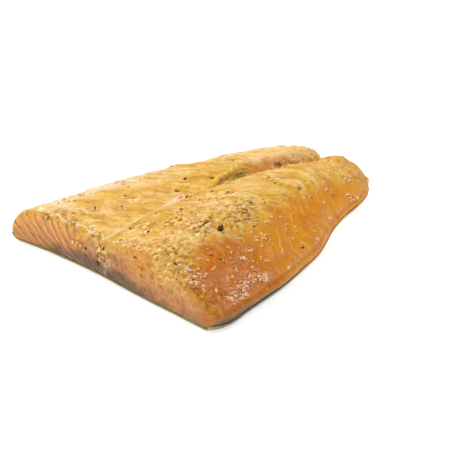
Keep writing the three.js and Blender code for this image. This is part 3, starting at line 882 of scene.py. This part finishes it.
# For each kind: its shapes, as a form, a seed, the sides, how rough, how finely divided and where it is cut flat;
# the share of it that sinks in; and its finish, as a name, the tones, roughness, specular, mottle in mm, and how
# much of the light soaks in.
pepper = {
    # the larger bits: on top by X, Y and size, on the cut face by Y, Z and size
    "onTop": [[49.5, 32.5, 6], [48, 42.5, 4.4], [20.5, 63, 2.2], [6, 71, 2.4], [6.5, 29, 3], [23.5, 128.5, 2.2],
              [25, 112, 2.4], [73.5, 80.5, 2.6], [88.5, 41.5, 3.2], [79.5, 39, 2.8], [107, 90, 4], [129.5, 83.5, 3],
              [127, 58.5, 2.4], [145, 70, 3], [162, 78.5, 6.4], [71, 15, 2], [88, 1, 2], [42.5, -2, 2.4],
              [48.6, 109.7, 2.4], [50, 104.2, 2.2], [37.9, 101.8, 2], [93.4, 100.3, 3], [103.9, 121.5, 2.4],
              [13, 117, 2], [90.6, 61.7, 2.4], [74, 78.4, 3], [36.6, 62.1, 2.6], [8, 110, 2], [43.5, 78.5, 2.4],
              [33, 134, 2]],
    "onCut": [[129.5, 25, 5.2], [86.5, 14.6, 2.8], [84, 22.2, 2.8], [87.5, 8.8, 4.2], [106, 14.5, 2.4],
              [97.5, 15, 2.4], [72.5, 17, 2.6], [55, 26, 2.6], [85.9, 19.6, 2.6], [81.4, 21.2, 2.2], [82.8, 17, 2.6],
              [84.8, 11, 2.6], [81.8, 12.4, 2.2]],
    "shown": 0.9,  # the solid's bits have these sizes, and the scene's are a little smaller
    "shapes": [("ball", 1, (1, 0.65, 0.6), 0.45), ("ball", 2, (1, 0.75, 0.5), 0.5, 2, 0.2),
               ("ball", 3, (1, 0.5, 0.55), 0.5)],
    "sink": 0.55,
    # cracked black pepper: a wrinkled black-brown husk with paler broken faces, dulled by the oil
    "finish": ("crackedBlackPepper", ["#482a06", "#74521e", "#94703c", "#b8965c"], 0.6, 0.1, 0.8),
}
specks = {"count": 36, "sizeMm": (0.5, 1.5), "shapes": [("ball", 4, (1, 0.7, 0.5), 0.2, 1)], "sink": 0.4,
          "finish": pepper["finish"]}
seeds = {
    "count": 72, "largestMm": 2.6, "smallestMm": 1.3, "firstDraw": 1,
    "byHand": [[42.7, 59, 1.8], [42.8, 43.2, 2], [72.5, 33.7, 2], [21.9, 112.4, 1.8], [4, 68.5, 2.8],
               [150, 42.5, 2.2], [180.3, 43.4, 2], [176.5, 32.4, 2.2], [166.8, 16.5, 2.8], [165.2, 22.7, 2],
               [144.1, 32.4, 2.2], [96.2, 24.5, 1.8], [99.3, 22.3, 1.8], [65.3, 18.9, 2], [53.3, 14, 2],
               [31, 89, 3], [30.5, 91.5, 2.2], [26, 116, 2.6], [28, 111, 2.2], [23, 114, 2.4], [13.1, 119, 2.2],
               [43, 58.4, 3.6], [38, 41, 2.8], [40, 44, 2.6], [36, 43, 2.4], [44, 39, 2.8], [78, 117, 2.6],
               [70, 84, 2.2], [160, 80, 2.6], [166, 78, 2.2], [157, 78, 2.4]],
    "onCut": [[108, 15.5, 3], [105.5, 14.8, 2.6], [101, 16, 2.8], [98.5, 13.5, 2], [84, 20, 3.4], [84, 13, 3],
              [62, 27, 2.4], [57, 24, 2], [129.5, 25, 3.2], [50, 20, 2.4], [52, 18, 2]],
    "more": 330, "moreMm": (1.3, 2.8),
    "byPepper": 4, "besideMm": 2.8, "besideSizeMm": (1.2, 2.6),  # granules that cling round each large bit of pepper
    "shapes": [("ball", 5, (1, 0.62, 0.5)), ("ball", 6, (1, 0.7, 0.45), 0.15)],
    "sink": 0.5,
    # mustard seed and dried onion, soaked with oil: pale yellow, half see-through, shiny
    "finish": ("oiledPaleSeed", ["#e8a44c", "#f6c070", "#ffe4ac"], 0.3, 0.2, 0.9, 0.3),
}
herbs = {
    "count": 16, "largestMm": 4.2, "smallestMm": 2.6, "firstDraw": 501, "shown": 1.05,
    "more": 34, "moreMm": (1.0, 2.4), "onCut": [48.2, 16.2, 4.5],
    "shapes": [("leaf", 1, (1, 0.5, 1)), ("leaf", 2.4, (1, 0.35, 1)), ("leaf", 4.1, (1, 0.65, 1))],
    "sink": 0.5,
    # dried herb leaf: olive to dark green, matt under the oil
    "finish": ("driedHerbLeaf", ["#685410", "#8c7018", "#ac9030"], 0.6, 0.1, 0.8),
}
crumbs = {
    "count": 300, "sizeMm": (0.7, 1.5),
    "shapes": [("ball", 7, (1, 0.85, 0.6), 0.12, 1), ("ball", 8, (1, 0.7, 0.7), 0.15, 1)],
    "sink": 0.45,
    # ground spice in oil: mustard yellow, a little see-through
    "finish": ("oiledGroundSpice", ["#eca850", "#fac068", "#ffdc9c"], 0.35, 0.3, 0.5, 0.3),
}
chilli = {
    "count": 20, "sizeMm": (0.8, 1.8), "byHand": [[73, 36.5, 4], [76.5, 37.4, 4.5], [80, 37.6, 4]],
    "middle": (80, 41), "reach": (20, 14),  # where most of it lies
    "shapes": [("ball", 9, (1, 0.4, 0.25), 0.2)],
    "sink": 0.4,
    # dried chilli husk: thin, orange-red, a little shiny with oil
    "finish": ("driedChilliHusk", ["#c06c20", "#dc8c3c", "#eeac60"], 0.45, 0.2, 0.7),
}
drops = {
    "count": 150, "sizeMm": (1.3, 3.4), "turn": (-0.6, 0.6),  # drawn out along the fillet
    "shapes": [("ball", 10, (1, 0.45, 0.35), 0.2), ("ball", 11, (1, 0.6, 0.4), 0.15)],
    "sink": 0.45,
    # drops of whisked oil: half see-through, very smooth, and pale as painted glints
    "finish": ("paintedGlintOil", ["#e4904c", "#f8b47c", "#ffe6c8"], 0.12, 0.35, 1.2, 0.4),
}


def scattered(kind):
    # the places of the solid's own seeds and flakes, the largest first, found with the same numbers as there
    count, largest, smallest, i = (kind[name] for name in ("count", "largestMm", "smallestMm", "firstDraw"))
    spots, sizes, turns = [], [], []
    while len(spots) < count:
        s = halton(i, 2) * 0.92 + 0.04
        back, belly = float(backY(s)), float(bellyY(s))
        y = back + (belly - back) * (0.06 + 0.82 * halton(i, 3))
        x = s * lines["length"]
        crowd = 0.3 + 0.7 * hump((x - 50) / 100) * hump((y - 45) / 60)
        if halton(i, 5) < crowd:
            sizes.append(largest + (smallest - largest) * len(spots) / count)
            spots.append(spotOnTop(x, y))
            turns.append(2 * math.pi * halton(i, 7))
        i += 1
    return spots, sizes, turns


def clusters(p, seed, scaleMm):
    return fade(0.0, 0.45, noiseAt(p, scaleMm, seed))


def filmWeight(p, normals):
    x, y, z = p.T
    upper = fade(0.3, 0.85, normals[:, 2])
    crest = hump((x - 45) / 85) * hump((y - 48) / 50)
    front = 0.05 * fade(75, 40, x) * fade(5, 9, z) * fade(2, 6, x) * fade(30, 20, y)
    swirl = hump(awayFrom(p, fleshForm["swirl"]) / 20)
    return upper * (0.05 + clusters(p, 21, 11)) * (0.08 + crest) + 0.5 * clumpShare(p) * (1 - 0.85 * swirl) + front


def layPepper():
    spots = [spotOnTop(x, y) for x, y, size in pepper["onTop"]] + [spotOnCut(y, z) for y, z, size in pepper["onCut"]]
    sizes = [size * pepper["shown"] for x, y, size in pepper["onTop"] + pepper["onCut"]]
    turns = [-0.88 + 0.5 * math.sin(2.4 * i) for i in range(len(spots))]
    layBits("crackedPepper", pepper, spots, sizes, seed=31, turns=turns)
    spots = spotsBy(lambda p, n: filmWeight(p, n) + 0.03 * (n[:, 2] > 0.1), specks["count"], seed=32)
    sizes = np.random.default_rng(33).uniform(*specks["sizeMm"], len(spots))
    layBits("pepperSpecks", specks, spots, sizes, seed=34)


def laySeeds():
    spots, sizes, turns = scattered(seeds)
    more = spotsBy(filmWeight, seeds["more"], seed=41)
    chance = np.random.default_rng(42)
    spots += [spotOnTop(x, y) for x, y, size in seeds["byHand"]] + more
    sizes += [size for x, y, size in seeds["byHand"]] + list(chance.uniform(*seeds["moreMm"], len(more)))
    for y, z, size in seeds["onCut"]:
        place, normal = spotOnCut(y, z)
        spots.append((place + normal * size * 0.25 * mm, normal))
        sizes.append(size)
    for x, y, size in pepper["onTop"] * seeds["byPepper"]:
        turn = chance.uniform(0, fullTurn)
        away = seeds["besideMm"] * chance.uniform(0.7, 1.3)
        spots.append(spotOnTop(x + away * math.cos(turn), y + away * math.sin(turn)))
        sizes.append(chance.uniform(*seeds["besideSizeMm"]))
    turns += list(chance.uniform(0, fullTurn, len(spots) - len(turns)))
    layBits("paleSeeds", seeds, spots, sizes, seed=43, turns=turns)


def layHerbs():
    spots, sizes, turns = scattered(herbs)
    y, z, onCutSize = herbs["onCut"]
    more = spotsBy(filmWeight, herbs["more"], seed=51) + [spotOnCut(y, z)]
    chance = np.random.default_rng(52)
    sizes = [size * herbs["shown"] for size in sizes] + list(chance.uniform(*herbs["moreMm"], herbs["more"]))
    turns += list(chance.uniform(0, fullTurn, len(more)))
    layBits("herbFlakes", herbs, spots + more, sizes + [onCutSize], seed=53, turns=turns)


def layCrumbs():
    spots = spotsBy(lambda p, n: filmWeight(p, n) * clusters(p, 22, 4), crumbs["count"], seed=61)
    sizes = np.random.default_rng(62).uniform(*crumbs["sizeMm"], len(spots))
    layBits("spiceCrumbs", crumbs, spots, sizes, seed=63)


def layChilli():
    def weigh(p, normals):
        x, y = ((p[:, :2] - chilli["middle"]) / chilli["reach"]).T
        return (normals[:, 2] > 0.4) * (0.1 + hump(x) * hump(y))

    spots = spotsBy(weigh, chilli["count"], seed=71)
    sizes = list(np.random.default_rng(72).uniform(*chilli["sizeMm"], len(spots)))
    spots += [spotOnTop(x, y) for x, y, size in chilli["byHand"]]
    sizes += [size for x, y, size in chilli["byHand"]]
    turns = [-0.3 + 0.4 * math.sin(1.7 * i) for i in range(len(spots))]
    layBits("chilliFlecks", chilli, spots, sizes, seed=73, turns=turns)


def layDrops():
    spots = spotsBy(lambda p, n: dewShare(p) ** 2 * (p[:, 2] > 9), drops["count"], seed=81)
    chance = np.random.default_rng(82)
    sizes = chance.uniform(*drops["sizeMm"], len(spots))
    turns = chance.uniform(*drops["turn"], len(spots))
    layBits("paintedGlintDrops", drops, spots, sizes, seed=83, turns=turns)


layPepper()
laySeeds()
layHerbs()
layCrumbs()
layChilli()
layDrops()


studio = {
    "floorSize": 40.0,
    "floorColour": "#f6f6f6",
    "floorGlow": 0.56,  # lit from below, as a light table, so that shadows stay faint
    "worldStrength": 0.34,
    "worldGloss": 0.1,  # the room is darker than its soft fill, so that wet things shine only where a lamp is
    # each light's place, width and power
    "lights": {
        "keyLight": ((0.07, 0.80, 0.90), 0.5, 9.6),
        "fillLight": ((-0.95, 0.25, 0.55), 0.8, 2.6),
        "backLight": ((0.52, 0.63, 0.80), 0.4, 1.3),
        "sideLight": ((0.98, -0.29, 0.52), 0.18, 2.0),
        "overLight": ((0.52, -0.40, 0.94), 0.14, 1.8),
    },
}
view = {"placeMm": (-403.98, -360.62, 372.5), "turn": (60, 0, -50), "lens": 90}


def addLight(name, place, size, power):
    bpy.ops.object.light_add(type="AREA", location=place)
    light = bpy.context.object
    light.name = name
    light.data.shape = "DISK"
    light.data.size = size
    light.data.energy = power
    light.rotation_euler = (-Vector(place)).to_track_quat("-Z", "Y").to_euler()


def buildStudio():
    bpy.ops.object.select_all(action="DESELECT")
    bpy.ops.mesh.primitive_plane_add(size=studio["floorSize"], location=(0, 0, 0))
    floor = bpy.context.object
    floor.name = "floor"
    material, tree = newMaterial("palePaintedFloor")
    glossy = addNode(tree, "LightPath").outputs["Is Glossy Ray"]
    glow = addNode(tree, "MapRange", {0: glossy, 3: studio["floorGlow"], 4: 0.0})
    shader = addNode(tree, "BsdfPrincipled", {
        "Base Color": linear(studio["floorColour"]), "Roughness": 0.7, "Specular IOR Level": 0.2,
        "Emission Color": (1, 1, 1, 1), "Emission Strength": glow})
    addNode(tree, "OutputMaterial", {"Surface": shader})
    floor.data.materials.append(material)
    world = bpy.data.worlds.new("softWhiteRoom")
    world.use_nodes = True
    tree = world.node_tree
    tree.nodes.clear()
    glossy = addNode(tree, "LightPath").outputs["Is Glossy Ray"]
    strength = addNode(tree, "MapRange", {0: glossy, 3: studio["worldStrength"], 4: studio["worldGloss"]})
    background = addNode(tree, "Background", {"Color": (1, 1, 1, 1), "Strength": strength})
    addNode(tree, "OutputWorld", {"Surface": background})
    bpy.context.scene.world = world
    for name, (place, size, power) in studio["lights"].items():
        addLight(name, place, size, power)
    bpy.context.scene.view_settings.view_transform = "Standard"


def buildCamera():
    place = (np.array(view["placeMm"]) + cornerMm) * mm
    bpy.ops.object.camera_add(location=place, rotation=[math.radians(a) for a in view["turn"]])
    camera = bpy.context.object
    camera.data.lens = view["lens"]
    bpy.context.scene.camera = camera


buildStudio()
buildCamera()
